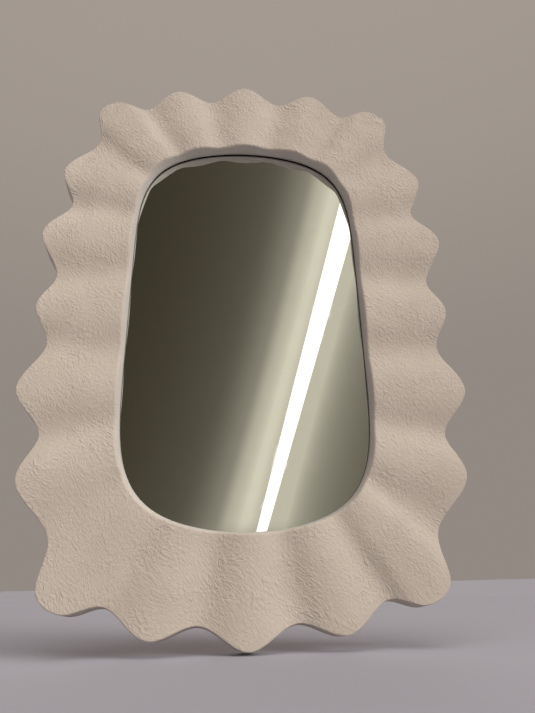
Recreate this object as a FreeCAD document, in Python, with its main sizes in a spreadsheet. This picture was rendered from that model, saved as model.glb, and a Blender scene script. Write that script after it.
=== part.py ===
import FreeCAD, Part
import math
import os

# Wall mirror with a scalloped, wavy frame.
# X runs to the right, Y from the viewer to the wall and Z up.
# The origin is the centre of the mirror in the plane of the wall, which the four bumpers touch.

Vector = FreeCAD.Vector

# Driving dimensions in millimetres: alias, value, meaning.
SIZES = (
    ("frame_width", "416", "over the widest side scallops, at the front"),
    ("frame_height", "600", "over the top and bottom scallops, at the front"),
    ("side_flare", "2.2", "how far the sides widen towards the back"),
    ("side_rim", "88.5", "widest side scallop to the opening's front lip"),
    ("end_rim", "87.7", "top scallop to the opening's front lip"),
    ("lip_wave", "2.4", "ridge above the mean face, at the opening"),
    ("edge_wave", "3", "ridge above the mean face, at the outer edge"),
    ("edge_inset", "0.6", "eased front edge, across"),
    ("edge_drop", "0.8", "eased front edge, back"),
    ("collar_draft", "2.1", "how far the collar closes in towards the glass"),
    ("collar_depth", "11.3", "mean face to the back of the collar"),
    ("gasket_thickness", "1.5", "foam strip between collar and glass"),
    ("gasket_setback", "0.5", "foam strip behind the edge of the collar"),
    ("gasket_margin", "1", "foam strip inside the edge of the glass"),
    ("glass_thickness", "4", "silvered glass"),
    ("glass_overlap", "9", "glass rebate past the collar"),
    ("glass_clearance", "1", "glass to the wall of its rebate"),
    ("card_thickness", "1", "card between glass and backing board"),
    ("board_thickness", "3", "backing board"),
    ("board_lap", "14", "board rebate past the glass rebate"),
    ("board_clearance", "0.75", "board to the wall of its rebate"),
    ("board_recess", "0.8", "board below the back of the frame"),
    ("bumper_height", "5", "back of the frame to the wall"),
    ("bumper_radius", "8", "bumper at the frame"),
    ("bumper_face_radius", "6.5", "bumper at the wall"),
    ("board_screw_radius", "1.5", "shank"),
    ("board_screw_length", "11", "under the head"),
    ("board_screw_head_radius", "3.2", "pan head"),
    ("board_screw_head_height", "1.8", "pan head"),
    ("hanger_screw_radius", "1.75", "shank"),
    ("hanger_screw_length", "12", "under the head"),
    ("hanger_screw_head_radius", "3.5", "pan head"),
    ("hanger_screw_head_height", "2.2", "pan head"),
    ("screw_clearance", "0.1", "hole past a shank, all round and at its tip"),
    ("recess_width", "0.9", "arm of the cross recess in a screw"),
    ("recess_depth", "1", "cross recess in a screw"),
    ("ring_wire_radius", "1.25", "hanging ring"),
    ("ring_width", "20", "between the middles of the wire"),
    ("ring_corner_radius", "3", "at the middle of the wire"),
    ("ring_leg", "2", "straight side of the ring"),
    ("ring_clearance", "0.3", "ring bar in the rolled end of the strap"),
    ("ring_screw_gap", "3.25", "hanging ring to the screw below it"),
    ("strap_thickness", "0.8", "hanger strap"),
    ("strap_side_gap", "1.5", "rolled end of the strap to the bend of the ring"),
    ("hanger_height", "135", "ring bar above the middle of the mirror"),
    ("cut_overrun", "1", "how far a cut runs past a face"),
)

# One quarter of the outline, from the middle of the right side to the middle of the top.
# Columns: height of the wave, share of the half width, share of the half height,
# and where the wave meets the opening, as a share of a quarter turn.
SCALLOP_SHARES = (
    (1.0, 0.974, 0.000, 0.000),
    (-1.0, 0.913, 0.128, 0.147),
    (1.0, 1.000, 0.286, 0.273),
    (-1.0, 0.888, 0.418, 0.363),
    (0.9, 0.944, 0.553, 0.436),
    (-1.0, 0.797, 0.704, 0.503),
    (0.7, 0.807, 0.827, 0.540),
    (0.85, 0.780, 0.874, 0.557),
    (0.7, 0.685, 0.902, 0.580),
    (-0.8, 0.550, 0.887, 0.638),
    (1.0, 0.379, 0.968, 0.729),
    (-0.9, 0.190, 0.938, 0.855),
    (1.0, 0.000, 1.000, 1.000),
)
CORNER_SHARES = SCALLOP_SHARES[7]
SIDE_NOTCH_SHARES = SCALLOP_SHARES[3]
FLANK_LIFT_SHARE = 0.3  # lifts the middle of each flank: broad ridges, narrow valleys
OVAL_POWER = 6.0  # squareness of the opening: 2 is an ellipse
END_BOW_SHARE = 0.15  # how far the bowed ends of the opening fall off towards its sides
OVAL_POINTS = 72
CLOSED_EDGES = 24  # edges in each closed curve: a divisor of its count of points
CORNER_TURN_SHARE = 0.5
BOARD_SCREW_TURN_SHARES = (0.11, 0.37, 0.69)
RECESS_LENGTH_SHARE = 1.1  # length of the cross recess over the radius of the head
HEAD_RIM_SHARE = 0.5  # straight rim of a pan head over its height
HEAD_TOP_SHARE = 0.7  # flat top of a pan head over its radius
QUARTER_TURN = math.pi / 2
SIDES = (("left", -1), ("right", 1))
ENDS = (("top", 1), ("bottom", -1))

TO_WALL = FreeCAD.Rotation(Vector(1, 0, 0), -90)  # turns Z to the wall
TO_VIEWER = FreeCAD.Rotation(Vector(1, 0, 0), 90)  # turns Z to the viewer
TO_RIGHT = FreeCAD.Rotation(Vector(0, 1, 0), 90)  # turns Z to the right

# What lies between the wall and the front, one behind the other.
STACK = ("bumper_height", "board_recess", "board_thickness", "card_thickness",
         "glass_thickness", "gasket_thickness", "collar_depth")

doc = FreeCAD.newDocument("wavy_mirror")
sheet = doc.addObject("Spreadsheet::Sheet", "Sizes")
for row, (alias, value, meaning) in enumerate(SIZES, 1):
    sheet.set(f"A{row}", alias)
    sheet.set(f"B{row}", value)
    sheet.set(f"C{row}", meaning)
    sheet.setAlias(f"B{row}", alias)
doc.recompute()


def size(alias):
    return float(sheet.get(alias))


def named(alias):
    return f"Sizes.{alias}"


def layers_to(last):
    """The layers from the wall up to and including one of them."""
    return STACK[:STACK.index(last) + 1]


def level(last):
    """Place along Y of a layer's front face."""
    return -sum(size(alias) for alias in layers_to(last))


def level_named(last):
    return "-(" + " + ".join(named(alias) for alias in layers_to(last)) + ")"


def bind(thing, **expressions):
    """Ties properties to the sheet; x, y and z are the place."""
    for name, expression in expressions.items():
        path = f"Placement.Base.{name}" if name in ("x", "y", "z") else name
        thing.setExpression(path, expression)
    return thing


def solid(kind, name, rotation=None, **expressions):
    """A primitive with its sizes and place tied to the sheet."""
    thing = doc.addObject(f"Part::{kind}", name)
    if rotation:
        thing.Placement = FreeCAD.Placement(Vector(), rotation)
    return bind(thing, **expressions)


def join(name, things):
    fused = doc.addObject("Part::MultiFuse", name)
    fused.Shapes = things
    return fused


def cut(name, base, tool):
    result = doc.addObject("Part::Cut", name)
    result.Base = base
    result.Tool = tool
    return result


def closed_curve(points, knots):
    """A smooth closed curve that leaves its first point along the line between that point's neighbours."""
    span = knots[1] - knots[0] + knots[-1] - knots[-2]
    tangents = [(points[1] - points[-1]) / span] + [Vector()] * (len(points) - 1)
    stated = [True] + [False] * (len(points) - 1)
    curve = Part.BSplineCurve()
    curve.interpolate(Points=points, PeriodicFlag=True, Parameters=knots,
                      Tangents=tangents, TangentFlags=stated, Scale=False)
    return curve


def closed_edges(points, knots):
    """A smooth closed curve as a row of edges."""
    curve = closed_curve(points, knots)
    ends = knots[::len(points) // CLOSED_EDGES]
    return [curve.toShape(start, end) for start, end in zip(ends, ends[1:])]


BACK = level_named("bumper_height")
HALF_WIDTH = size("frame_width") / 2
HALF_HEIGHT = size("frame_height") / 2
COLLAR_HALF_WIDTH = HALF_WIDTH - size("side_rim") - size("collar_draft")
COLLAR_HALF_HEIGHT = HALF_HEIGHT - size("end_rim") - size("collar_draft")
GLASS_REACH = size("glass_overlap") - size("glass_clearance")
BOARD_REBATE = size("glass_overlap") + size("board_lap")
SCREW_LINE = size("glass_overlap") + size("board_lap") / 2


# Ovals: the outlines of the opening and of all that fills it.

def oval_point(turn_share, past_collar):
    """A point of the oval that lies a given way outside the back edge of the collar."""
    across = math.cos(turn_share * QUARTER_TURN)
    up = math.sin(turn_share * QUARTER_TURN)
    reach = (abs(across) ** OVAL_POWER + abs(up) ** OVAL_POWER) ** (-1 / OVAL_POWER)
    bowed = 1 - END_BOW_SHARE * (reach * across) ** 2
    return Vector((COLLAR_HALF_WIDTH + past_collar) * reach * across, 0,
                  (COLLAR_HALF_HEIGHT + past_collar) * reach * up * bowed)


def oval_face(past_collar):
    points = [oval_point(4 * step / OVAL_POINTS, past_collar) for step in range(OVAL_POINTS)]
    return Part.Face(Part.Wire(closed_edges(points, list(range(OVAL_POINTS + 1)))))


def oval_plate(name, face, thickness, place):
    """A flat plate of an oval face, which grows towards the viewer from its place along Y."""
    outline = doc.addObject("Part::Feature", f"{name}_outline")
    outline.Shape = face
    plate = doc.addObject("Part::Extrusion", name)
    plate.Base = outline
    plate.DirMode = "Custom"
    plate.Dir = Vector(0, -1, 0)
    plate.Solid = True
    return bind(plate, LengthFwd=thickness, y=place)


# Frame: a wavy ring, open in the middle and stepped at the back.

def ring_rows():
    """The outline's rows all the way round, anticlockwise from the right as the viewer sees it."""
    quarter = SCALLOP_SHARES
    rows = list(quarter)
    rows += [(high, -across, up, 2 - turn) for high, across, up, turn in quarter[-2::-1]]
    rows += [(high, -across, -up, 2 + turn) for high, across, up, turn in quarter[1:]]
    rows += [(high, across, -up, 4 - turn) for high, across, up, turn in quarter[-2:0:-1]]
    return rows


def with_flanks(rows, knots):
    """Adds a row halfway down each flank; a row is its knot, its height and its turn."""
    full = []
    for index, (high, _, _, turn) in enumerate(rows):
        next_high, _, _, next_turn = rows[(index + 1) % len(rows)]
        if index + 1 == len(rows):
            next_turn += 4
        flank_high = (high + next_high + FLANK_LIFT_SHARE * abs(high - next_high)) / 2
        full.append((knots[index], high, turn))
        full.append(((knots[index] + knots[index + 1]) / 2, flank_high, (turn + next_turn) / 2))
    return full


def frame_rings():
    """Closed rows of edges round the frame, from the back of the outline over the face into the opening."""
    rows = ring_rows()
    spots = [Vector(across * HALF_WIDTH, 0, up * HALF_HEIGHT) for _, across, up, _ in rows]
    knots = [0.0]
    for start, end in zip(spots, spots[1:] + spots[:1]):
        knots.append(knots[-1] + math.sqrt(start.distanceToPoint(end)))
    outline = closed_curve(spots, knots)
    full = with_flanks(rows, knots)
    face = level("collar_depth")
    back, edge, brow, lip, collar, inner = [], [], [], [], [], []
    for knot, high, turn in full:
        spot = outline.value(knot)
        along = outline.tangent(knot)[0]
        outward = Vector(along.z, 0, -along.x)
        top = face - size("edge_wave") * high
        back.append(spot + outward * size("side_flare") + Vector(0, level("bumper_height"), 0))
        edge.append(spot + Vector(0, top + size("edge_drop"), 0))
        brow.append(spot - outward * size("edge_inset") + Vector(0, top, 0))
        lip.append(oval_point(turn, size("collar_draft")) + Vector(0, face - size("lip_wave") * high, 0))
        collar.append(oval_point(turn, 0) + Vector(0, level("gasket_thickness"), 0))
        inner.append(oval_point(turn, 0) + Vector(0, level("bumper_height"), 0))
    ring_knots = [knot for knot, _, _ in full] + [knots[-1]]
    return [closed_edges(ring, ring_knots) for ring in (back, edge, brow, lip, collar, inner)]


def make_blank():
    rings = frame_rings()
    faces = [Part.Face(Part.Wire(rings[0])).cut(Part.Face(Part.Wire(rings[-1])))]
    for outer, inner in zip(rings, rings[1:]):
        faces += [Part.makeRuledSurface(one, other) for one, other in zip(outer, inner)]
    shell = Part.Compound(faces)
    shell.sewShape()
    body = Part.makeSolid(shell.Shells[0])
    if body.Volume < 0:
        body.reverse()
    blank = doc.addObject("Part::Feature", "frame_blank")
    blank.Shape = body
    return blank


def board_screw_spots():
    """Places of the board's screws, mirrored into all four quarters."""
    turns = []
    for turn in BOARD_SCREW_TURN_SHARES:
        turns += [turn, 2 - turn, 2 + turn, 4 - turn]
    return [oval_point(turn, SCREW_LINE) for turn in turns]


def hanger_across():
    """Half the distance between the hangers: midway on the bare back of the side."""
    notch = SIDE_NOTCH_SHARES[1] * HALF_WIDTH
    return (COLLAR_HALF_WIDTH + BOARD_REBATE + notch) / 2


def screw_holes(name, kind, spots, surface, depth):
    """Holes for the shanks of a kind of screw, from a surface along Y towards the viewer."""
    holes = []
    for index, (across, up) in enumerate(spots, 1):
        holes.append(solid(
            "Cylinder", f"{name}_{index}", TO_VIEWER,
            Radius=f"{named(f'{kind}_screw_radius')} + Sizes.screw_clearance",
            Height=f"{depth} + Sizes.cut_overrun",
            x=f"{across}", y=f"{surface} + Sizes.cut_overrun", z=f"{up}"))
    return holes


def make_frame():
    board_front = level_named("board_thickness")
    collar_back = level_named("gasket_thickness")
    mouth = f"{BACK} + Sizes.cut_overrun"
    pockets = [
        oval_plate("glass_rebate", oval_face(size("glass_overlap")), f"{mouth} - ({collar_back})", mouth),
        oval_plate("board_rebate", oval_face(BOARD_REBATE), f"{mouth} - ({board_front})", mouth),
    ]
    pockets += screw_holes(
        "board_pilot", "board", [(spot.x, spot.z) for spot in board_screw_spots()], board_front,
        "Sizes.board_screw_length - Sizes.board_thickness + Sizes.screw_clearance")
    pockets += screw_holes(
        "hanger_pilot", "hanger", [(side * hanger_across(), STRAP_HOLE) for _, side in SIDES], BACK,
        "Sizes.hanger_screw_length - Sizes.strap_thickness + Sizes.screw_clearance")
    return cut("frame", make_blank(), join("frame_pockets", pockets))


# Glass, its foam strip, the card behind it and the backing board.

def make_filling():
    strip = oval_face(GLASS_REACH - size("gasket_margin")).cut(oval_face(size("gasket_setback")))
    pane = oval_face(GLASS_REACH)
    panel = oval_face(BOARD_REBATE - size("board_clearance"))
    board_back = level_named("board_recess")
    holes = screw_holes(
        "board_hole", "board", [(spot.x, spot.z) for spot in board_screw_spots()], board_back,
        "Sizes.board_thickness + Sizes.cut_overrun")
    blank = oval_plate("board_blank", panel, "Sizes.board_thickness", board_back)
    return [
        oval_plate("glass_gasket", strip, "Sizes.gasket_thickness", level_named("glass_thickness")),
        oval_plate("mirror_glass", pane, "Sizes.glass_thickness", level_named("card_thickness")),
        oval_plate("backing_card", pane, "Sizes.card_thickness", level_named("board_thickness")),
        cut("backing_board", blank, join("board_holes", holes)),
    ]


# Screws: one of each kind, repeated at its places as a group of separate solids.

def make_screw(kind):
    """A pan-head screw with a cross recess, its head on the XY plane and its shank below."""
    length = named(f"{kind}_screw_length")
    head_radius = named(f"{kind}_screw_head_radius")
    head_height = named(f"{kind}_screw_head_height")
    rim_height = f"{head_height} * {HEAD_RIM_SHARE}"
    body = join(f"{kind}_screw_body", [
        solid("Cylinder", f"{kind}_shank", Radius=named(f"{kind}_screw_radius"),
              Height=length, z=f"-{length}"),
        solid("Cylinder", f"{kind}_rim", Radius=head_radius, Height=rim_height),
        solid("Cone", f"{kind}_crown", Radius1=head_radius, Radius2=f"{head_radius} * {HEAD_TOP_SHARE}",
              Height=f"{head_height} - {rim_height}", z=rim_height),
    ])
    arm_length = f"{head_radius} * {RECESS_LENGTH_SHARE}"
    arm_width = named("recess_width")
    arms = []
    for name, along, across in (("x", arm_length, arm_width), ("y", arm_width, arm_length)):
        arms.append(solid(
            "Box", f"{kind}_recess_{name}", Length=along, Width=across,
            Height="Sizes.recess_depth + Sizes.cut_overrun",
            x=f"-{along} / 2", y=f"-{across} / 2", z=f"{head_height} - Sizes.recess_depth"))
    return cut(f"{kind}_screw", body, join(f"{kind}_recess", arms))


def make_screw_group(kind, spots):
    screw = make_screw(kind)
    doc.recompute()
    copies = []
    for spot in spots:
        copy = screw.Shape.copy()
        copy.Placement = FreeCAD.Placement(spot, TO_WALL)
        copies.append(copy)
    group = doc.addObject("Part::Feature", f"{kind}_screws")
    group.Shape = Part.makeCompound(copies)
    return group


def make_screws():
    board_seat = Vector(0, level("board_recess"), 0)
    strap_seat = Vector(0, level("bumper_height") + size("strap_thickness"), STRAP_HOLE)
    return [
        make_screw_group("board", [spot + board_seat for spot in board_screw_spots()]),
        make_screw_group("hanger", [strap_seat + Vector(side * hanger_across(), 0, 0) for _, side in SIDES]),
    ]


# Hangers: a strap rolled round the straight bar of a ring, on each side.
# The strap is as wide as the bar allows, and its screw lies clear below the hanging ring.

BAR_BORE = "(Sizes.ring_wire_radius + Sizes.ring_clearance)"
ROLL_RADIUS = f"({BAR_BORE} + Sizes.strap_thickness)"
BAR_LEVEL = f"{BACK} + {ROLL_RADIUS}"
BAR_HALF = "(Sizes.ring_width / 2 - Sizes.ring_corner_radius)"
STRAP_HALF = f"({BAR_HALF} - Sizes.strap_side_gap)"
STRAP_DROP = sum(size(alias) for alias in (
    "ring_corner_radius", "ring_leg", "ring_wire_radius", "ring_screw_gap", "hanger_screw_head_radius"))
STRAP_DROP += size("ring_width") / 2
STRAP_HOLE = size("hanger_height") - STRAP_DROP


def make_strap(name, across):
    left = f"{across} - {STRAP_HALF}"
    body = join(f"{name}_body", [
        solid("Box", f"{name}_plate", Length=f"2 * {STRAP_HALF}", Width="Sizes.strap_thickness",
              Height=f"{STRAP_DROP}", x=left, y=BACK, z=f"{STRAP_HOLE}"),
        solid("Cylinder", f"{name}_end", TO_WALL, Radius=STRAP_HALF, Height="Sizes.strap_thickness",
              x=f"{across}", y=BACK, z=f"{STRAP_HOLE}"),
        solid("Cylinder", f"{name}_roll", TO_RIGHT, Radius=ROLL_RADIUS, Height=f"2 * {STRAP_HALF}",
              x=left, y=BAR_LEVEL, z="Sizes.hanger_height"),
    ])
    openings = screw_holes(f"{name}_hole", "hanger", [(across, STRAP_HOLE)],
                           f"{BACK} + Sizes.strap_thickness", "Sizes.strap_thickness + Sizes.cut_overrun")
    openings.append(solid(
        "Cylinder", f"{name}_bore", TO_RIGHT, Radius=BAR_BORE,
        Height=f"2 * ({STRAP_HALF} + Sizes.cut_overrun)",
        x=f"{left} - Sizes.cut_overrun", y=BAR_LEVEL, z="Sizes.hanger_height"))
    return cut(name, body, join(f"{name}_openings", openings))


def make_ring(name, across):
    """A D of round wire that hangs from its straight bar."""
    wire = named("ring_wire_radius")
    corner = named("ring_corner_radius")
    bow_height = f"Sizes.hanger_height - {corner} - Sizes.ring_leg"
    pieces = [
        solid("Cylinder", f"{name}_bar", TO_RIGHT, Radius=wire, Height=f"2 * {BAR_HALF}",
              x=f"{across} - {BAR_HALF}", y=BAR_LEVEL, z="Sizes.hanger_height"),
        solid("Torus", f"{name}_bow", TO_WALL, Radius1="Sizes.ring_width / 2", Radius2=wire, Angle3="180",
              x=f"{across}", y=BAR_LEVEL, z=bow_height),
    ]
    for label, side in SIDES:
        start = FreeCAD.Rotation(Vector(0, 0, 1), 0 if side > 0 else 90)
        pieces += [
            solid("Cylinder", f"{name}_{label}_leg", Radius=wire, Height="Sizes.ring_leg",
                  x=f"{across} + {side} * Sizes.ring_width / 2", y=BAR_LEVEL, z=bow_height),
            solid("Torus", f"{name}_{label}_bend", TO_VIEWER.multiply(start),
                  Radius1=corner, Radius2=wire, Angle3="90",
                  x=f"{across} + {side} * {BAR_HALF}", y=BAR_LEVEL, z=f"Sizes.hanger_height - {corner}"),
        ]
    return join(name, pieces)


def make_hangers():
    hangers = []
    for label, side in SIDES:
        across = side * hanger_across()
        hangers.append(make_strap(f"hanger_strap_{label}", across))
        hangers.append(make_ring(f"hanger_ring_{label}", across))
    return hangers


# Bumpers: tapered rubber feet on the back, midway between the board and the corners.

def make_bumpers():
    corner = Vector(CORNER_SHARES[1] * HALF_WIDTH, 0, CORNER_SHARES[2] * HALF_HEIGHT)
    spot = (oval_point(CORNER_TURN_SHARE, BOARD_REBATE) + corner) / 2
    bumpers = []
    for end, up in ENDS:
        for label, side in SIDES:
            bumpers.append(solid(
                "Cone", f"bumper_{end}_{label}", TO_WALL, Radius1="Sizes.bumper_radius",
                Radius2="Sizes.bumper_face_radius", Height="Sizes.bumper_height",
                x=f"{side * spot.x}", y=BACK, z=f"{up * spot.z}"))
    return bumpers


nodes = [make_frame()] + make_filling() + make_screws() + make_hangers() + make_bumpers()
for node in nodes:
    node.Label = node.Name
doc.recompute()

for thing in doc.Objects:
    if "Invalid" in thing.State or "Error" in thing.State:
        raise RuntimeError(f"{thing.Name} failed: {thing.State}")
for node in nodes:
    if node.Shape.isNull() or not node.Shape.isValid() or not node.Shape.Solids:
        raise RuntimeError(f"{node.Label} has no valid solid")

os.makedirs("parts", exist_ok=True)
for node in nodes:
    node.Shape.exportStep(f"parts/{node.Label}.step")
    print(f"{node.Label}: {len(node.Shape.Solids)} solids, {node.Shape.Volume:.1f} mm3")
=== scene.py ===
import math

import bpy
import numpy as np
from mathutils import Euler, Matrix, Vector


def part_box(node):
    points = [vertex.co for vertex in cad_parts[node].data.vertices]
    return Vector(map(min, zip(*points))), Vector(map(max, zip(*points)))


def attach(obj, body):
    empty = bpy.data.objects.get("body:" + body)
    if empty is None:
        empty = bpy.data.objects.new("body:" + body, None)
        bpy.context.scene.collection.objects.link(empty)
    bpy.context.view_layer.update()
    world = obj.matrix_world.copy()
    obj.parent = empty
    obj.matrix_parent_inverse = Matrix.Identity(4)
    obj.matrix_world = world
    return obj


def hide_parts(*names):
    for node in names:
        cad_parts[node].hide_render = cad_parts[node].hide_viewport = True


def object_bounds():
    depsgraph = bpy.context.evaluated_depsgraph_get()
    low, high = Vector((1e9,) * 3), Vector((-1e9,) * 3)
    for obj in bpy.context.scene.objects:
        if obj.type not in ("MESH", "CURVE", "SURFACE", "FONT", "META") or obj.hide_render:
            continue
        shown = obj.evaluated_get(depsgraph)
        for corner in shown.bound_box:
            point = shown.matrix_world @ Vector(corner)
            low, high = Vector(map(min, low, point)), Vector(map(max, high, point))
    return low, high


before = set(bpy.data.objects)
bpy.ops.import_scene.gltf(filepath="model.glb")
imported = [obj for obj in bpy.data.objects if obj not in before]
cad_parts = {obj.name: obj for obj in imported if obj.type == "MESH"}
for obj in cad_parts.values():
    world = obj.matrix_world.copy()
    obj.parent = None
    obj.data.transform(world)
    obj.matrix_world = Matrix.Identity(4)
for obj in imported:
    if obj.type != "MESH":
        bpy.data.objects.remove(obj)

# Looks of a wall mirror with a scalloped, wavy frame, in metres, in the frame of the solids:
# X to the right, Y from the viewer to the wall, Z up, the glass facing -Y.

SEED = 7
SIDES = ("left", "right")
ENDS = ("top", "bottom")


def plain(box):
    """A box as plain lists of numbers."""
    return [[float(value) for value in corner] for corner in box]


SOLID_BOX = plain(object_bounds())

# Frame outline. One quarter runs from the middle of the right side to the middle of the top.
# Columns: height of the wave, share of the half width, share of the half height,
# and where the wave meets the opening, as a share of a quarter turn.
SCALLOP_SHARES = (
    (1.0, 0.974, 0.000, 0.000),
    (-1.0, 0.913, 0.128, 0.147),
    (1.0, 1.000, 0.286, 0.273),
    (-1.0, 0.888, 0.418, 0.363),
    (0.9, 0.944, 0.553, 0.436),
    (-1.0, 0.797, 0.704, 0.503),
    (0.7, 0.807, 0.827, 0.540),
    (0.85, 0.780, 0.874, 0.557),
    (0.7, 0.685, 0.902, 0.580),
    (-0.8, 0.550, 0.887, 0.638),
    (1.0, 0.379, 0.968, 0.729),
    (-0.9, 0.190, 0.938, 0.855),
    (1.0, 0.000, 1.000, 1.000),
)
FLANK_LIFT_SHARE = 0.3
OVAL_POWER = 6.0
END_BOW_SHARE = 0.15
HALF_WIDTH = 0.208
HALF_HEIGHT = 0.300
SIDE_RIM = 0.0885
END_RIM = 0.0877
COLLAR_DRAFT = 0.0021
COLLAR_HALF_WIDTH = HALF_WIDTH - SIDE_RIM - COLLAR_DRAFT
COLLAR_HALF_HEIGHT = HALF_HEIGHT - END_RIM - COLLAR_DRAFT
COLLAR_DEPTH = 0.0113
EDGE_WAVE = 0.0034
LIP_WAVE = 0.0026
LIP_CALM = 0.005
SIDE_FLARE = 0.0022
EDGE_INSET = 0.0006
EDGE_DROP = 0.0008
GLASS_REBATE = 0.009
BOARD_REBATE = 0.023

# Places along Y, read from the solids.
FRAME_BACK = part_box("frame")[1][1]
COLLAR_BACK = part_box("glass_gasket")[0][1]
GLASS_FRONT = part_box("mirror_glass")[0][1]
BOARD_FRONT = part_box("backing_board")[0][1]
FACE_LEVEL = COLLAR_BACK - COLLAR_DEPTH

# Fineness of the frame's mesh, and how far and in how many steps its edges are rounded.
STEPS_AROUND = 1240
LENGTH_STEPS = 16 * STEPS_AROUND
JUST_BEFORE = 1 - 1e-12
STEPS_ACROSS_FACE = 50
STEPS_DOWN_COLLAR = 4
STEPS_ACROSS_BACK = 4
BACK_ROUND = (0.0008, 2)
EDGE_ROUND = (0.0004, 3)
BROW_ROUND = (0.0004, 4)
LIP_ROUND = (0.002, 6)

# Stipple: low, worm-like ridges of paint in the frame's mesh, stronger in some patches.
STIPPLE_SPACING = 0.0048
STIPPLE_HEIGHT = 0.0002
STIPPLE_SPAN = (0.0, 1.5)
STIPPLE_WAVES = 60
STIPPLE_STRIDES = (0.8, 1.25)
STIPPLE_EDGE_FADE = 0.001
STIPPLE_LIP_FADE = 0.002
PATCH_SPACING = 0.045
PATCH_SPAN = (-1.8, 1.2)
PATCH_SHARE = 0.5

# Brushed wrinkles: relief in the paint's material.
BRUSH_TURN = math.radians(-35)
BRUSH_STRETCH = 1.6
BRUSH_DRIFT = 0.035
BRUSH_HEIGHT = 0.00065
BRUSH_GROWTH = 0.4
BRUSH_LEVELS = (-0.2, 0.3)
BRUSH_STRENGTHS = (0.8, 1.35)
BRUSH_PATCHES = (0.4, 1.0)
PUFF_TOP = 0.16
PUFF_WEIGHT = 3.0
STROKE_SPAN = (0.58, 0.74)
STROKE_WEIGHT = 0.6
COLLAR_RELIEF = 0.4

# Paint and the board under it. Tones and roughness have two ends, between which they vary.
# A span is the part of a noise or value over which something fades in.
MIDDLE_SPAN = (0.3, 0.7)
WIDE_SPAN = (0.25, 0.75)
PAINT_TONES = ((0.494, 0.414, 0.340), (0.538, 0.454, 0.376))
PAINT_ROUGHNESS = (0.78, 0.9)
# Painted shade: a darker tone for the paint between the stipple's ridges, and how much of it they take.
HOLLOW_SHADE_COLOUR = (0.30, 0.235, 0.18)
HOLLOW_SHADE_SHARE = 0.10
COLLAR_COLOUR = (0.480, 0.436, 0.382)
# Painted light: a paler, greyer tone for the side walls, standing in for light bounced onto them.
SIDE_PAINTED_LIGHT_COLOUR = (0.535, 0.475, 0.415)
BOARD_TONES = ((0.20, 0.125, 0.070), (0.33, 0.225, 0.140))
OVERSPRAY_REACH = 0.012
MIST_SHARE = 0.35
COVER_SPAN = (0.35, 0.65)
CHIP_SPAN = (0.68, 0.72)
SPECK_SPAN = (0.80, 0.83)
SPECK_SHARE = 0.8

# The other materials.
GLASS_TONES = ((0.86, 0.875, 0.85), (0.84, 0.85, 0.825))
GLASS_ROUGHNESS = (0.008, 0.045)
SMUDGE_TONE_SPAN = (0.35, 0.7)
SMUDGE_SPAN = (0.45, 0.75)
FOAM_TONES = ((0.002, 0.002, 0.002), (0.008, 0.008, 0.008))
FOAM_ROUGHNESS = (0.85, 1.0)
CARD_TONES = ((0.24, 0.225, 0.20), (0.34, 0.32, 0.29))
HARDBOARD_TONES = ((0.105, 0.052, 0.024), (0.150, 0.080, 0.040))
HARDBOARD_ROUGHNESS = (0.5, 0.72)
FIBRE_COLOUR = (0.23, 0.135, 0.072)
FIBRE_SPAN = (0.35, 0.75)
FIBRE_SHARE = 0.7
STEEL_TONES = ((0.52, 0.51, 0.49), (0.66, 0.65, 0.63))
STEEL_ROUGHNESS = (0.22, 0.40)
STEEL_GRAIN = (1.0, 1.0, 0.1)
ZINC_TONES = ((0.46, 0.46, 0.45), (0.62, 0.62, 0.60))
ZINC_ROUGHNESS = (0.28, 0.45)
ZINC_GRAIN = (1.0, 1.0, 1.0)
RUBBER_TONES = ((0.012, 0.012, 0.012), (0.05, 0.048, 0.045))
RUBBER_ROUGHNESS = (0.6, 0.85)
DUST_SPAN = (0.45, 0.8)
FLOOR_TONES = ((0.340, 0.322, 0.353), (0.353, 0.334, 0.366))

# Pieces behind the frame.
RING_CORNER = 0.003
RING_LEG = 0.002
RING_BAR_STEPS = 8
RING_CORNER_STEPS = 10
RING_LEG_STEPS = 3
RING_BOW_STEPS = 40
WIRE_SIDES = 16
EASE_ANGLE = math.radians(40)
EASE_STEPS = 3
METAL_EASE = 0.00012
RUBBER_EASE = 0.0009
BOARD_EASE = 0.0003

# Camera: place and turn, worked out from the photograph's outline of the frame.
IMAGE_WIDTH = 535
IMAGE_HEIGHT = 713
FOCAL_PIXELS = 535.0
SENSOR = 36.0
CAMERA_PLACE = (-0.0169, -0.4976, -0.2518)
CAMERA_TURN_DEGREES = (113.068, 1.261, -3.940)

# Floor and lights. Columns of the suns: name, strength, then in degrees the spread, the side
# and the height, and whether the glass passes the light on, here into the collar.
FLOOR_GAP = 0.0002
FLOOR_LEVEL = SOLID_BOX[0][2] - FLOOR_GAP
FLOOR_REACH = 40.0
SUN_DISTANCE = 2.6
SUNS = (
    ("key", 2.08, 28, 52, 20, True),
    ("top", 1.0, 40, 10, 70, False),
    ("fill", 0.65, 90, 0, 40, False),
    ("back", 2.0, 40, 165, 8, False),
)
SOFT_PLACE = (-0.6, -1.0, 0.25)
SOFT_SIZE = 0.5
SOFT_POWER = 1.6
STRIP_TOP_PIXEL = (351, 200)
STRIP_FOOT_PIXEL = (262, 530)
STRIP_TOP_DISTANCE = 2.2
STRIP_FOOT_DISTANCE = 4.4
STRIP_WIDTH = 0.078
STRIP_OVERRUN = 0.25
STRIP_RADIANCE = 1.15

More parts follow.
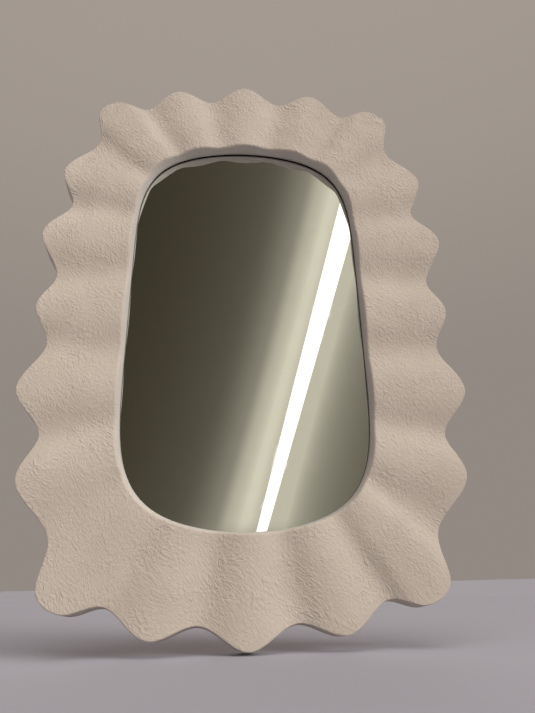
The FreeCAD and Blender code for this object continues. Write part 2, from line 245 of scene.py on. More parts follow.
# Surroundings: a dim surround in front with a glow along the strip light, and a pale backdrop.
# The glow's spans are of how far a direction lies off the strip, the others of a unit direction.
SURROUND_COLOUR = (0.004, 0.003, 0.001)
GLOW_COLOUR = (0.965, 0.900, 0.715)
FAR_GLOW_COLOUR = (1.0, 0.860, 0.560)
FAR_GLOW_SPAN = (0.06, 0.30)
GLOW_REACH = 0.0235
GLOW_CORE = 0.038
DIM_SPAN = (-0.15, -0.08)
DIM_SHARE = 0.66
BAND_RISE = (-0.085, -0.06)
BAND_FALL = (-0.03, -0.01)
BAND_GLOW = 0.15
BACKDROP_COLOUR = (0.290, 0.254, 0.226)
BACKDROP_TOP_COLOUR = (0.370, 0.322, 0.284)
BACKDROP_SPAN = (0.3, 0.85)
BEHIND_SPAN = (-0.45, 0.0)
HORIZON_SPAN = (0.05, 0.11)


# Node trees.

def add_node(tree, kind, inputs=None, **settings):
    """A node with its settings and inputs; an input is a number, a colour or another node's output."""
    node = tree.nodes.new(kind)
    for name, value in settings.items():
        setattr(node, name, value)
    for name, value in (inputs or {}).items():
        if isinstance(value, bpy.types.NodeSocket):
            tree.links.new(value, node.inputs[name])
        else:
            node.inputs[name].default_value = value
    return node


def opaque(colour):
    return (*colour, 1.0)


def math_node(tree, operation, *values):
    inputs = dict(enumerate(values))
    return add_node(tree, "ShaderNodeMath", inputs, operation=operation).outputs[0]


def vector_node(tree, operation, inputs, output=0):
    return add_node(tree, "ShaderNodeVectorMath", inputs, operation=operation).outputs[output]


def remap(tree, value, span, low=0.0, high=1.0):
    """A value eased from one range to another."""
    inputs = {"Value": value, "From Min": span[0], "From Max": span[1], "To Min": low, "To Max": high}
    node = add_node(tree, "ShaderNodeMapRange", inputs, interpolation_type="SMOOTHSTEP")
    return node.outputs["Result"]


def mix(tree, factor, one, other):
    """A colour between two colours."""
    node = add_node(tree, "ShaderNodeMix", data_type="RGBA")
    for index, value in ((0, factor), (6, one), (7, other)):
        if isinstance(value, bpy.types.NodeSocket):
            tree.links.new(value, node.inputs[index])
        else:
            node.inputs[index].default_value = value if index == 0 else opaque(value)
    return node.outputs[2]


def noise(tree, place, scale, detail=2.0, roughness=0.5, distortion=0.0):
    """A noise between 0 and 1, with so many features to the metre."""
    inputs = {"Vector": place, "Scale": scale, "Detail": detail, "Roughness": roughness,
              "Distortion": distortion}
    return add_node(tree, "ShaderNodeTexNoise", inputs).outputs["Fac"]


def place_in(tree, stretch=(1.0, 1.0, 1.0)):
    """Places on the piece, in metres, stretched along its axes."""
    place = add_node(tree, "ShaderNodeTexCoord").outputs["Object"]
    return add_node(tree, "ShaderNodeMapping", {"Vector": place, "Scale": stretch}).outputs[0]


def bump(tree, height, distance, below=None):
    """A normal that follows a relief, on top of the relief below it if there is one."""
    inputs = {"Height": height, "Distance": distance, "Strength": 1.0}
    if below is not None:
        inputs["Normal"] = below
    return add_node(tree, "ShaderNodeBump", inputs).outputs[0]


def attribute(tree, name):
    return add_node(tree, "ShaderNodeAttribute", attribute_name=name).outputs["Fac"]


def new_material(name):
    """An empty material and its tree."""
    material = bpy.data.materials.new(name)
    material.use_nodes = True
    material.node_tree.nodes.clear()
    return material, material.node_tree


def surface(tree, **inputs):
    """The shader and the output of a material; input names have _ for spaces."""
    named = {name.replace("_", " "): value for name, value in inputs.items()}
    shader = add_node(tree, "ShaderNodeBsdfPrincipled", named)
    add_node(tree, "ShaderNodeOutputMaterial", {"Surface": shader.outputs[0]})


# Materials.

def winding_lines(tree, place, height):
    """Places drawn out along winding, slanting lines, which lie closer together towards the bottom."""
    drift = add_node(tree, "ShaderNodeTexNoise", {"Vector": place, "Scale": 14.0, "Detail": 1.0})
    inputs = {0: drift.outputs["Color"], 1: (BRUSH_DRIFT, BRUSH_DRIFT, BRUSH_DRIFT), 2: place}
    winding = vector_node(tree, "MULTIPLY_ADD", inputs)
    fineness = math_node(tree, "MULTIPLY_ADD", height, -BRUSH_GROWTH, 1.0)
    winding = vector_node(tree, "SCALE", {0: winding, "Scale": fineness})
    turned = {"Vector": winding, "Rotation": (0.0, BRUSH_TURN, 0.0), "Scale": (1.0, 1.0, BRUSH_STRETCH)}
    return add_node(tree, "ShaderNodeMapping", turned, vector_type="TEXTURE").outputs[0]


def brushed_relief(tree, place):
    """Small puffy wrinkles between fine creases, as thick brushed paint leaves them, stronger at the top."""
    height = add_node(tree, "ShaderNodeSeparateXYZ", {0: place}).outputs["Z"]
    lines = winding_lines(tree, place, height)
    swell = noise(tree, lines, scale=275.0, detail=1.0, distortion=0.3)
    swell = math_node(tree, "SUBTRACT", swell, 0.5)
    puffs = math_node(tree, "MINIMUM", math_node(tree, "ABSOLUTE", swell), PUFF_TOP)
    fine = noise(tree, lines, scale=560.0, detail=1.5, roughness=0.6)
    strokes = noise(tree, lines, scale=165.0, detail=1.0, distortion=1.0)
    strokes = remap(tree, strokes, STROKE_SPAN)
    patches = remap(tree, noise(tree, place, scale=34.0), MIDDLE_SPAN, *BRUSH_PATCHES)
    strength = remap(tree, height, BRUSH_LEVELS, *BRUSH_STRENGTHS)
    full = math_node(tree, "MULTIPLY_ADD", puffs, PUFF_WEIGHT, fine)
    full = math_node(tree, "MULTIPLY_ADD", strokes, STROKE_WEIGHT, full)
    return math_node(tree, "MULTIPLY", full, math_node(tree, "MULTIPLY", patches, strength))


def paint_tone(tree, blotches):
    """Warm off-white, with painted shade between the stipple's ridges, a tone of its own for the collar, and
    a paler tone on the sides as painted light.
    """
    paint = mix(tree, remap(tree, blotches, MIDDLE_SPAN), *PAINT_TONES)
    # Painted shade: the paint darkens where the stipple's relief is low.
    hollow_shade = remap(tree, attribute(tree, "stipple"), (0.0, 1.0), HOLLOW_SHADE_SHARE, 0.0)
    paint = mix(tree, hollow_shade, paint, HOLLOW_SHADE_COLOUR)
    paint = mix(tree, attribute(tree, "collar"), paint, COLLAR_COLOUR)
    # Painted light: the side walls take the paler tone.
    return mix(tree, attribute(tree, "side"), paint, SIDE_PAINTED_LIGHT_COLOUR)


def board_tone(tree):
    """Brown fibreboard."""
    place = place_in(tree, stretch=(1.0, 1.0, 0.25))
    fibres = noise(tree, place, scale=900.0, detail=4.0, roughness=0.7)
    return mix(tree, remap(tree, fibres, MIDDLE_SPAN), *BOARD_TONES)


def bare_share(tree, place):
    """Where the board shows: past the mist of paint at the back, in chips on the edges and in specks."""
    mist = noise(tree, place, scale=420.0, detail=3.0, roughness=0.7)
    mist = remap(tree, mist, WIDE_SPAN, -MIST_SHARE, MIST_SHARE)
    cover = math_node(tree, "ADD", attribute(tree, "cover"), mist)
    unpainted = math_node(tree, "SUBTRACT", 1.0, remap(tree, cover, COVER_SPAN))
    chips = noise(tree, place, scale=130.0, detail=3.0, roughness=0.6)
    chips = math_node(tree, "MULTIPLY", remap(tree, chips, CHIP_SPAN), attribute(tree, "edge"))
    specks = noise(tree, place, scale=90.0, roughness=0.4)
    specks = remap(tree, specks, SPECK_SPAN, 0.0, SPECK_SHARE)
    worn = math_node(tree, "MAXIMUM", chips, specks)
    return math_node(tree, "MAXIMUM", unpainted, worn)


def paint_material():
    """Matt, wrinkled paint over brown fibreboard."""
    material, tree = new_material("frame_paint")
    place = place_in(tree)
    blotches = noise(tree, place, scale=22.0, detail=3.0)
    tone = mix(tree, bare_share(tree, place), paint_tone(tree, blotches), board_tone(tree))
    relief = math_node(tree, "MULTIPLY", brushed_relief(tree, place), attribute(tree, "rough"))
    wrinkled = bump(tree, relief, distance=BRUSH_HEIGHT)
    grit = noise(tree, place, scale=900.0, roughness=0.6)
    surface(tree, Base_Color=tone,
            Roughness=remap(tree, blotches, MIDDLE_SPAN, *PAINT_ROUGHNESS),
            Specular_IOR_Level=0.3, Normal=bump(tree, grit, distance=0.00006, below=wrinkled))
    return material


def mirror_material():
    """Silvered glass with faint smudges."""
    material, tree = new_material("mirror")
    smudges = noise(tree, place_in(tree), scale=28.0, detail=5.0, roughness=0.6, distortion=1.0)
    tint = mix(tree, remap(tree, smudges, SMUDGE_TONE_SPAN), *GLASS_TONES)
    surface(tree, Base_Color=tint, Metallic=1.0,
            Roughness=remap(tree, smudges, SMUDGE_SPAN, *GLASS_ROUGHNESS))
    return material


def foam_material():
    """Black foam with open cells."""
    material, tree = new_material("gasket_foam")
    cells = noise(tree, place_in(tree), scale=1800.0, detail=3.0, roughness=0.6)
    surface(tree, Base_Color=mix(tree, cells, *FOAM_TONES),
            Roughness=remap(tree, cells, MIDDLE_SPAN, *FOAM_ROUGHNESS),
            Specular_IOR_Level=0.1, Normal=bump(tree, cells, distance=0.0002))
    return material


def card_material():
    """Grey card with flecks."""
    material, tree = new_material("card")
    flecks = noise(tree, place_in(tree), scale=700.0, detail=4.0, roughness=0.7)
    tone = mix(tree, remap(tree, flecks, MIDDLE_SPAN), *CARD_TONES)
    surface(tree, Base_Color=tone, Roughness=0.92, Normal=bump(tree, flecks, distance=0.00005))
    return material


def hardboard_material():
    """Smooth brown hardboard: pressed fibres, darker clouds and a slight sheen."""
    material, tree = new_material("hardboard")
    clouds = noise(tree, place_in(tree), scale=14.0, detail=4.0, roughness=0.55)
    place = place_in(tree, stretch=(1.0, 1.0, 0.3))
    fibres = noise(tree, place, scale=800.0, detail=5.0, roughness=0.75, distortion=1.5)
    pressed = mix(tree, remap(tree, clouds, MIDDLE_SPAN), *HARDBOARD_TONES)
    tone = mix(tree, remap(tree, fibres, FIBRE_SPAN, 0.0, FIBRE_SHARE), pressed, FIBRE_COLOUR)
    surface(tree, Base_Color=tone,
            Roughness=remap(tree, fibres, MIDDLE_SPAN, *HARDBOARD_ROUGHNESS),
            Specular_IOR_Level=0.4, Normal=bump(tree, fibres, distance=0.00006))
    return material


def metal_material(name, tones, roughness, grain):
    """Plated steel: cloudy plating and fine lines of grain along one axis."""
    material, tree = new_material(name)
    clouds = noise(tree, place_in(tree), scale=160.0, detail=4.0, roughness=0.6)
    lines = noise(tree, place_in(tree, stretch=grain), scale=1500.0)
    surface(tree, Base_Color=mix(tree, remap(tree, clouds, MIDDLE_SPAN), *tones), Metallic=1.0,
            Roughness=remap(tree, lines, WIDE_SPAN, *roughness),
            Normal=bump(tree, lines, distance=0.000015))
    return material


def rubber_material():
    """Black rubber, a little dusty."""
    material, tree = new_material("bumper_rubber")
    dust = noise(tree, place_in(tree), scale=260.0, detail=4.0, roughness=0.65)
    skin = noise(tree, place_in(tree), scale=2400.0)
    tone = mix(tree, remap(tree, dust, DUST_SPAN), *RUBBER_TONES)
    surface(tree, Base_Color=tone,
            Roughness=remap(tree, dust, MIDDLE_SPAN, *RUBBER_ROUGHNESS),
            Specular_IOR_Level=0.4, Normal=bump(tree, skin, distance=0.00005))
    return material


def floor_material():
    """Pale grey with faint clouds."""
    material, tree = new_material("floor")
    clouds = noise(tree, place_in(tree), scale=1.3)
    tone = mix(tree, remap(tree, clouds, MIDDLE_SPAN), *FLOOR_TONES)
    surface(tree, Base_Color=tone, Roughness=0.9, Specular_IOR_Level=0.15)
    return material


# Frame: one closed mesh, worked out from the same outline as its solid.

class ClosedSpline:
    """A smooth closed curve through points, one at each knot but the last, which closes it."""

    def __init__(self, knots, points):
        self.knots = np.asarray(knots, float)
        self.points = np.asarray(points, float).reshape(len(points), -1)
        gaps = np.diff(self.knots)
        count = len(self.points)
        index = np.arange(count)
        matrix = np.zeros((count, count))
        matrix[index, index] = 2 * (gaps + np.roll(gaps, 1))
        matrix[index, (index + 1) % count] += gaps
        matrix[index, index - 1] += np.roll(gaps, 1)
        chords = (np.roll(self.points, -1, 0) - self.points) / gaps[:, None]
        self.bends = np.linalg.solve(matrix, 6 * (chords - np.roll(chords, 1, 0)))

    def spans(self, places):
        """The span each place is in: its ends' points and bends, its length and the share along it."""
        start = np.clip(np.searchsorted(self.knots, places, "right") - 1, 0, len(self.points) - 1)
        end = (start + 1) % len(self.points)
        length = (self.knots[start + 1] - self.knots[start])[:, None]
        share = (places - self.knots[start])[:, None] / length
        return self.points[start], self.points[end], self.bends[start], self.bends[end], length, share

    def at(self, places):
        one, other, bend, next_bend, length, share = self.spans(places)
        rest = 1 - share
        curve = (rest ** 3 - rest) * bend + (share ** 3 - share) * next_bend
        return rest * one + share * other + curve * length ** 2 / 6

    def slope(self, places):
        one, other, bend, next_bend, length, share = self.spans(places)
        rest = 1 - share
        curve = (1 - 3 * rest ** 2) * bend + (3 * share ** 2 - 1) * next_bend
        return (other - one) / length + curve * length / 6


def ring_rows():
    """The outline's rows all the way round, anticlockwise from the right as the viewer sees it."""
    quarter = SCALLOP_SHARES
    rows = list(quarter)
    rows += [(high, -across, up, 2 - turn) for high, across, up, turn in quarter[-2::-1]]
    rows += [(high, -across, -up, 2 + turn) for high, across, up, turn in quarter[1:]]
    rows += [(high, across, -up, 4 - turn) for high, across, up, turn in quarter[-2:0:-1]]
    return np.array(rows)


def with_flanks(values, lift):
    """Values with one more halfway to each next value, raised by a share of the step."""
    following = np.roll(values, -1)
    halfway = (values + following + lift * np.abs(values - following)) / 2
    return np.stack([values, halfway], 1).ravel()


def unit(vectors):
    return vectors / np.linalg.norm(vectors, axis=-1, keepdims=True)


def oval(turn, past_collar):
    """Points of the oval that lies a given way outside the back edge of the collar."""
    across = np.cos(turn * math.pi / 2)
    up = np.sin(turn * math.pi / 2)
    reach = (np.abs(across) ** OVAL_POWER + np.abs(up) ** OVAL_POWER) ** (-1 / OVAL_POWER)
    bowed = 1 - END_BOW_SHARE * (reach * across) ** 2
    return np.stack([(COLLAR_HALF_WIDTH + past_collar) * reach * across,
                     (COLLAR_HALF_HEIGHT + past_collar) * reach * up * bowed], 1)


def at_level(flat, level):
    """Points in X and Z, at a place along Y."""
    return np.stack([flat[:, 0], np.broadcast_to(level, len(flat)), flat[:, 1]], 1)


def calmed(values, path, reach):
    """Values averaged along a closed path, over about a reach to each side."""
    steps = np.linalg.norm(np.roll(path, -1, 0) - path, axis=1)
    length = np.cumsum(steps)
    gap = np.abs(length[:, None] - length[None, :])
    gap = np.minimum(gap, length[-1] - gap)
    weight = np.exp(-(gap / reach) ** 2 / 2) * steps
    return weight @ values / weight.sum(1)


def even_places(outline, turns, period):
    """Places round the frame that are evenly spaced along the middle of its face."""
    fine = np.linspace(0, period, LENGTH_STEPS + 1)
    inside = np.clip(fine, 0, period * JUST_BEFORE)
    middle = outline.at(inside) + oval(turns(inside), 0)
    length = np.concatenate([[0], np.cumsum(np.linalg.norm(np.diff(middle, axis=0), axis=1))])
    return np.interp(np.arange(STEPS_AROUND) / STEPS_AROUND * length[-1], length, fine)


def frame_guides():
    """Rings of points round the frame, by name, all sampled at the same places."""
    rows = ring_rows()
    spots = rows[:, 1:3] * (HALF_WIDTH, HALF_HEIGHT)
    steps = np.sqrt(np.linalg.norm(np.roll(spots, -1, 0) - spots, axis=1))
    knots = np.concatenate([[0], np.cumsum(steps)])
    period = knots[-1]
    outline = ClosedSpline(knots, spots)
    flank_knots = np.append(np.stack([knots[:-1], (knots[:-1] + knots[1:]) / 2], 1).ravel(), period)
    heights = ClosedSpline(flank_knots, with_flanks(rows[:, 0], FLANK_LIFT_SHARE))
    lag = ClosedSpline(knots, rows[:, 3] - 4 * knots[:-1] / period)

    def turns(places):
        return lag.at(places)[:, 0] + 4 * places / period

    places = even_places(outline, turns, period)
    spot = outline.at(places)
    along = unit(outline.slope(places))
    outward = np.stack([along[:, 1], -along[:, 0]], 1)
    high = heights.at(places)[:, 0]
    turn = turns(places)
    top = FACE_LEVEL - EDGE_WAVE * high
    lip = oval(turn, COLLAR_DRAFT)
    return {
        "back": at_level(spot + SIDE_FLARE * outward, FRAME_BACK),
        "edge": at_level(spot, top + EDGE_DROP),
        "brow": at_level(spot - EDGE_INSET * outward, top),
        "lip": at_level(lip, FACE_LEVEL - LIP_WAVE * calmed(high, lip, LIP_CALM)),
        "collar": at_level(oval(turn, 0), COLLAR_BACK),
        "seat": at_level(oval(turn, GLASS_REBATE), COLLAR_BACK),
        "shelf": at_level(oval(turn, GLASS_REBATE), BOARD_FRONT),
        "step": at_level(oval(turn, BOARD_REBATE), BOARD_FRONT),
        "rim": at_level(oval(turn, BOARD_REBATE), FRAME_BACK),
    }


def rounded(before, corner, after, reach, steps):
    """Rings that round off a corner between two neighbouring rings."""
    start = corner + unit(before - corner) * reach
    end = corner + unit(after - corner) * reach
    rings = []
    for share in np.linspace(0, 1, steps + 1):
        rings.append((1 - share) ** 2 * start + 2 * share * (1 - share) * corner + share ** 2 * end)
    return rings


def between(one, other, steps):
    """Rings evenly spaced between two rings, without either."""
    return [one + (other - one) * step / steps for step in range(1, steps)]


def frame_rings():
    """All rings of the frame's mesh, from its back edge over the face into the opening and round again."""
    guide = frame_guides()
    back = rounded(guide["rim"], guide["back"], guide["edge"], *BACK_ROUND)
    edge = rounded(guide["back"], guide["edge"], guide["brow"], *EDGE_ROUND)
    brow = rounded(guide["edge"], guide["brow"], guide["lip"], *BROW_ROUND)
    lip = rounded(guide["brow"], guide["lip"], guide["collar"], *LIP_ROUND)
    face = between(brow[-1], lip[0], STEPS_ACROSS_FACE)
    collar = between(lip[-1], guide["collar"], STEPS_DOWN_COLLAR)
    hidden = [guide[name] for name in ("collar", "seat", "shelf", "step", "rim")]
    flat_back = between(guide["rim"], back[0], STEPS_ACROSS_BACK)
    groups = (("back", back), ("edge", edge), ("brow", brow), ("face", face), ("lip", lip),
              ("collar", collar), ("hidden", hidden), ("flat_back", flat_back))
    names = [name for name, rings in groups for _ in rings]
    return names, np.array([ring for _, rings in groups for ring in rings])


def wave_field(points, spacing, random):
    """A smooth random field in X and Z, of unit variance, whose worm-like ridges are a spacing apart."""
    angle = random.uniform(0, 2 * math.pi, STIPPLE_WAVES)
    phase = random.uniform(0, 2 * math.pi, STIPPLE_WAVES)
    stride = 2 * math.pi / spacing * random.uniform(*STIPPLE_STRIDES, STIPPLE_WAVES)
    field = np.zeros(points.shape[:-1])
    for across, up, start in zip(stride * np.cos(angle), stride * np.sin(angle), phase):
        field += np.cos(points[..., 0] * across + points[..., 2] * up + start)
    return field * math.sqrt(2 / STIPPLE_WAVES)


def eased(values, start, end):
    """How far values are from a start to an end, from 0 to 1, with a soft start and end."""
    share = np.clip((values - start) / (end - start), 0, 1)
    return share * share * (3 - 2 * share)


def grid_normals(grid):
    """Unit normals of a closed grid of points."""
    around = np.roll(grid, -1, 1) - np.roll(grid, 1, 1)
    across = np.roll(grid, -1, 0) - np.roll(grid, 1, 0)
    return unit(np.cross(across, around))


def face_fade(names, grid):
    """How much of the stipple each point of the grid takes: all of it on the face, none elsewhere."""
    first = names.index("brow")
    last = len(names) - 1 - names[::-1].index("lip")
    from_edge = np.linalg.norm(grid - grid[first], axis=2)
    from_lip = np.linalg.norm(grid - grid[last], axis=2)
    fade = eased(from_edge, 0, STIPPLE_EDGE_FADE) * eased(from_lip, 0, STIPPLE_LIP_FADE)
    on_face = np.isin(names, ("brow", "face", "lip"))
    return fade * on_face[:, None]


def all_round(shares):
    """One share per ring, as a value at each of its points."""
    return np.repeat(np.asarray(shares, float)[:, None], STEPS_AROUND, axis=1)


def collar_share(names):
    """How much of each ring belongs to the collar: none on the face, rising past the crest of the lip."""
    first = names.index("lip")
    count = names.count("lip")
    rings = np.arange(len(names))
    inside = (rings >= first) & (rings <= names.index("hidden"))
    return np.where(inside, eased(rings, first + count // 2, first + count), 0.0)


def paint_cover(names, grid):
    """How far the paint covers: fully at the front and sides, and as a mist over the back's edge."""
    rim = names.index("flat_back") - 1
    cover = np.ones(grid.shape[:2])
    cover[names.index("hidden") + 1:rim] = 0
    gap = np.linalg.norm(grid[rim:] - grid[names.index("back")], axis=2)
    cover[rim:] = np.clip(1 - gap / OVERSPRAY_REACH, 0, 1)
    return cover


def grid_mesh(name, grid):
    """A mesh of four-sided faces over a grid that closes both ways."""
    rings, places = grid.shape[:2]
    index = np.arange(rings * places).reshape(rings, places)
    above = np.roll(index, -1, 0)
    corners = (index, above, np.roll(above, -1, 1), np.roll(index, -1, 1))
    faces = np.stack(corners, 2).reshape(-1, 4)
    mesh = bpy.data.meshes.new(name)
    mesh.from_pydata(grid.reshape(-1, 3).tolist(), [], faces.tolist())
    return mesh


def add_values(mesh, name, values):
    """A named number at each point of a mesh, for its material."""
    layer = mesh.attributes.new(name, "FLOAT", "POINT")
    layer.data.foreach_set("value", np.ascontiguousarray(values, np.float32).ravel())


def make_frame():
    names, grid = frame_rings()
    random = np.random.default_rng(SEED)
    ridges = eased(wave_field(grid, STIPPLE_SPACING, random), *STIPPLE_SPAN)
    patches = eased(wave_field(grid, PATCH_SPACING, random), *PATCH_SPAN)
    fade = face_fade(names, grid)
    stipple = ridges * (1 - PATCH_SHARE + PATCH_SHARE * patches) * fade
    grid = grid + grid_normals(grid) * (stipple * STIPPLE_HEIGHT)[..., None]
    mesh = grid_mesh("wavy_frame", grid)
    in_collar = all_round(collar_share(names))
    on_side = all_round(np.isin(names, ("back", "edge")))
    values = {
        "stipple": np.where(fade > 0, stipple, 1.0),
        "rough": 1 - (1 - COLLAR_RELIEF) * np.maximum(in_collar, on_side),
        "collar": in_collar,
        "side": on_side,
        "cover": paint_cover(names, grid),
        "edge": all_round(np.isin(names, ("edge", "brow"))),
    }
    for name, value in values.items():
        add_values(mesh, name, value)
    smooth = np.repeat(~np.isin(names, ("hidden", "flat_back")), STEPS_AROUND)
    mesh.polygons.foreach_set("use_smooth", smooth)
    mesh.update()
    piece("wavy_frame", mesh, "mirror", "frame", paint_material())


# Pieces.

def piece(name, mesh, body, node, material):
    """An object for a mesh that stands for a node of the solids."""
    thing = bpy.data.objects.new(name, mesh)
    bpy.context.scene.collection.objects.link(thing)
    mesh.materials.append(material)
    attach(thing, body)
    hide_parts(node)


def dress(node, material, ease=0.0):
    """Gives a node of the solids a material and, if asked, eased edges."""
    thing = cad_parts[node]
    thing.data.materials.clear()
    thing.data.materials.append(material)
    if ease:
        bevel = thing.modifiers.new("eased_edges", "BEVEL")
        bevel.width = ease
        bevel.segments = EASE_STEPS
        bevel.limit_method = "ANGLE"
        bevel.angle_limit = EASE_ANGLE
        bevel.harden_normals = True


def arc(centre, radius, start_degrees, end_degrees, steps):
    """Points of an arc in X and Z, without its last point."""
    angles = np.radians(np.linspace(start_degrees, end_degrees, steps, endpoint=False))
    return [np.array(centre) + radius * np.array((math.cos(angle), math.sin(angle))) for angle in angles]


def straight(start, end, steps):
    """Points of a straight line in X and Z, without its last point."""
    return [np.array(start) + (np.array(end) - np.array(start)) * step / steps for step in range(steps)]


def ring_path(half, top):
    """The middle of a hanging ring's wire: a straight bar, two bends, two short legs and a round bow."""
    bar = half - RING_CORNER
    bend = top - RING_CORNER
    bow = bend - RING_LEG
    path = straight((-bar, top), (bar, top), RING_BAR_STEPS)
    path += arc((bar, bend), RING_CORNER, 90, 0, RING_CORNER_STEPS)
    path += straight((half, bend), (half, bow), RING_LEG_STEPS)
    path += arc((0, bow), half, 0, -180, RING_BOW_STEPS)
    path += straight((-half, bow), (-half, bend), RING_LEG_STEPS)
    path += arc((-bar, bend), RING_CORNER, 180, 90, RING_CORNER_STEPS)
    return np.array(path)


def make_ring(side, material):
    """A hanging ring of round wire."""
    node = f"hanger_ring_{side}"
    low, high = np.array(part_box(node))
    middle = (low + high) / 2
    wire = (high[1] - low[1]) / 2
    path = ring_path((high[0] - low[0]) / 2 - wire, high[2] - wire)
    along = unit(np.roll(path, -1, 0) - np.roll(path, 1, 0))
    outward = np.stack([-along[:, 1], along[:, 0]], 1)
    angles = np.linspace(0, 2 * math.pi, WIRE_SIDES, endpoint=False)
    spread = path[:, None] + outward[:, None] * (wire * np.cos(angles))[None, :, None]
    depth = np.broadcast_to(middle[1] + wire * np.sin(angles), spread.shape[:2])
    grid = np.stack([middle[0] + spread[..., 0], depth, spread[..., 1]], 2)
    mesh = grid_mesh(f"wire_ring_{side}", grid)
    mesh.polygons.foreach_set("use_smooth", np.ones(len(mesh.polygons), bool))
    piece(f"wire_ring_{side}", mesh, f"ring_{side}", node, material)


def dress_nodes():
    steel = metal_material("hanger_steel", STEEL_TONES, STEEL_ROUGHNESS, STEEL_GRAIN)
    zinc = metal_material("zinc_screw", ZINC_TONES, ZINC_ROUGHNESS, ZINC_GRAIN)
    rubber = rubber_material()
    dress("mirror_glass", mirror_material())
    dress("glass_gasket", foam_material())
    dress("backing_card", card_material())
    dress("backing_board", hardboard_material(), BOARD_EASE)
    dress("board_screws", zinc, METAL_EASE)
    dress("hanger_screws", zinc, METAL_EASE)
    for side in SIDES:
        dress(f"hanger_strap_{side}", steel, METAL_EASE)
        make_ring(side, steel)
        for end in ENDS:
            dress(f"bumper_{end}_{side}", rubber, RUBBER_EASE)


# Camera, floor and light.

def make_camera():
    """The photograph's view; the sensor's width lies along the picture's longer side, its height."""
    data = bpy.data.cameras.new("camera")
    data.sensor_width = SENSOR
    data.lens = FOCAL_PIXELS / IMAGE_HEIGHT * SENSOR
    camera = bpy.data.objects.new("camera", data)
    camera.location = CAMERA_PLACE
    camera.rotation_euler = [math.radians(angle) for angle in CAMERA_TURN_DEGREES]
    bpy.context.scene.collection.objects.link(camera)
    bpy.context.scene.camera = camera


def reflected(pixel):
    """Where the camera looks by way of the glass at a pixel: its place behind the glass and a direction."""
    turn = Euler([math.radians(angle) for angle in CAMERA_TURN_DEGREES]).to_matrix()
    across = (pixel[0] - IMAGE_WIDTH / 2) / FOCAL_PIXELS
    down = (pixel[1] - IMAGE_HEIGHT / 2) / FOCAL_PIXELS
    ray = (turn @ Vector((across, -down, -1.0))).normalized()
    place = Vector(CAMERA_PLACE)
    place.y = 2 * GLASS_FRONT - place.y
    return place, Vector((ray.x, -ray.y, ray.z))


def make_floor():
    reach = FLOOR_REACH
    corners = [(-reach, -reach, FLOOR_LEVEL), (reach, -reach, FLOOR_LEVEL),
               (reach, reach, FLOOR_LEVEL), (-reach, reach, FLOOR_LEVEL)]
    mesh = bpy.data.meshes.new("floor")
    mesh.from_pydata(corners, [], [(0, 1, 2, 3)])
    mesh.materials.append(floor_material())
    floor = bpy.data.objects.new("floor", mesh)
    bpy.context.scene.collection.objects.link(floor)


def add_light(name, kind, place, aim):
    """A light at a place that shines towards a point."""
    data = bpy.data.lights.new(name, kind)
    light = bpy.data.objects.new(name, data)
    light.location = place
    light.rotation_euler = (Vector(aim) - Vector(place)).to_track_quat("-Z", "Y").to_euler()
    light.visible_camera = False
    bpy.context.scene.collection.objects.link(light)
    return light


def sky_place(side_degrees, height_degrees, distance):
    """A place round the mirror: an angle to the right of straight in front, an angle up and a distance."""
    side = math.radians(side_degrees)
    height = math.radians(height_degrees)
    flat = distance * math.cos(height)
    return flat * math.sin(side), -flat * math.cos(side), distance * math.sin(height)


def add_sun(name, strength, spread_degrees, side_degrees, height_degrees, in_glass):
    """A soft, even light from far off."""
    sun = add_light(name, "SUN", sky_place(side_degrees, height_degrees, SUN_DISTANCE), (0, 0, 0))
    sun.data.energy = strength
    sun.data.angle = math.radians(spread_degrees)
    sun.visible_glossy = in_glass


def make_lights():
    for sun in SUNS:
        add_sun(*sun)
    soft = add_light("soft", "AREA", SOFT_PLACE, (0, 0, 0))
    soft.data.energy = SOFT_POWER
    soft.data.size = SOFT_SIZE
    soft.visible_glossy = False


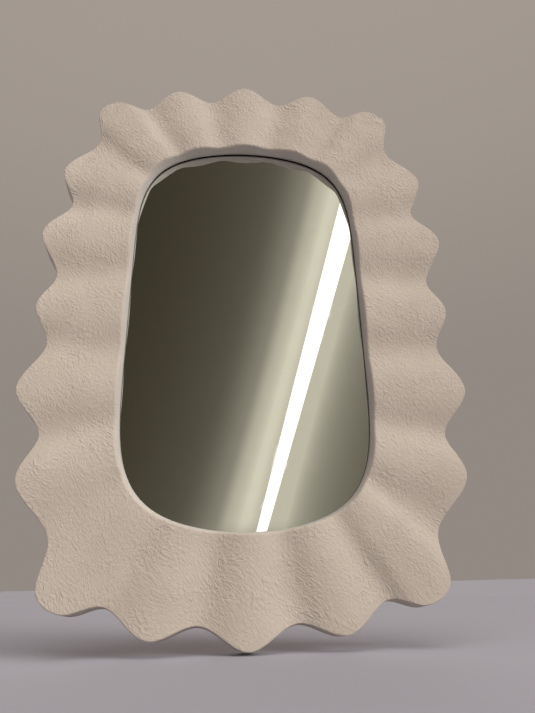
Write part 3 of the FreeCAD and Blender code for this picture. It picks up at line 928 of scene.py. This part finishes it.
def make_strip():
    """A long strip light in front, which the glass shows as a slanting band."""
    place, top_ray = reflected(STRIP_TOP_PIXEL)
    place, foot_ray = reflected(STRIP_FOOT_PIXEL)
    top = place + top_ray * STRIP_TOP_DISTANCE
    foot = place + foot_ray * STRIP_FOOT_DISTANCE
    centre = (top + foot) / 2
    away = (centre - place).normalized()
    along = (top - foot).normalized()
    across = along.cross(away).normalized()
    strip = add_light("strip", "AREA", centre, place)
    strip.rotation_euler = Matrix((across, along, across.cross(along))).transposed().to_euler()
    strip.data.shape = "RECTANGLE"
    strip.data.size = STRIP_WIDTH
    strip.data.size_y = (top - foot).length + 2 * STRIP_OVERRUN
    strip.data.energy = STRIP_RADIANCE * math.pi * strip.data.size * strip.data.size_y


def glowing_surround(tree, direction):
    """A dim surround that glows along the strip light, with a paler band on one side of it."""
    axis = reflected(STRIP_TOP_PIXEL)[1].cross(reflected(STRIP_FOOT_PIXEL)[1]).normalized()
    offset = vector_node(tree, "DOT_PRODUCT", {0: direction, 1: axis}, "Value")
    gap = math_node(tree, "MAXIMUM", math_node(tree, "ABSOLUTE", offset), GLOW_CORE)
    glow = math_node(tree, "DIVIDE", GLOW_REACH, gap)
    glow = math_node(tree, "MULTIPLY", glow, remap(tree, offset, DIM_SPAN, DIM_SHARE, 1.0))
    rise = remap(tree, offset, BAND_RISE, 0.0, BAND_GLOW)
    fall = remap(tree, offset, BAND_FALL, BAND_GLOW, 0.0)
    glow = math_node(tree, "ADD", glow, math_node(tree, "MINIMUM", rise, fall))
    colour = mix(tree, remap(tree, gap, FAR_GLOW_SPAN), GLOW_COLOUR, FAR_GLOW_COLOUR)
    return mix(tree, glow, SURROUND_COLOUR, colour)


def make_world():
    """Pale behind the mirror and near the floor, and dim in front."""
    world = bpy.data.worlds.new("studio")
    bpy.context.scene.world = world
    world.use_nodes = True
    tree = world.node_tree
    tree.nodes.clear()
    direction = add_node(tree, "ShaderNodeTexCoord").outputs["Generated"]
    split = add_node(tree, "ShaderNodeSeparateXYZ", {0: direction})
    height = split.outputs["Z"]
    behind = remap(tree, split.outputs["Y"], BEHIND_SPAN)
    low = remap(tree, height, HORIZON_SPAN, 1.0, 0.0)
    pale = math_node(tree, "MAXIMUM", behind, low)
    backdrop = mix(tree, remap(tree, height, BACKDROP_SPAN), BACKDROP_COLOUR, BACKDROP_TOP_COLOUR)
    colour = mix(tree, pale, glowing_surround(tree, direction), backdrop)
    shader = add_node(tree, "ShaderNodeBackground", {"Color": colour, "Strength": 1.0})
    add_node(tree, "ShaderNodeOutputWorld", {"Surface": shader.outputs[0]})


make_frame()
dress_nodes()
make_camera()
make_floor()
make_lights()
make_strip()
make_world()
bpy.context.scene.view_settings.view_transform = "Standard"
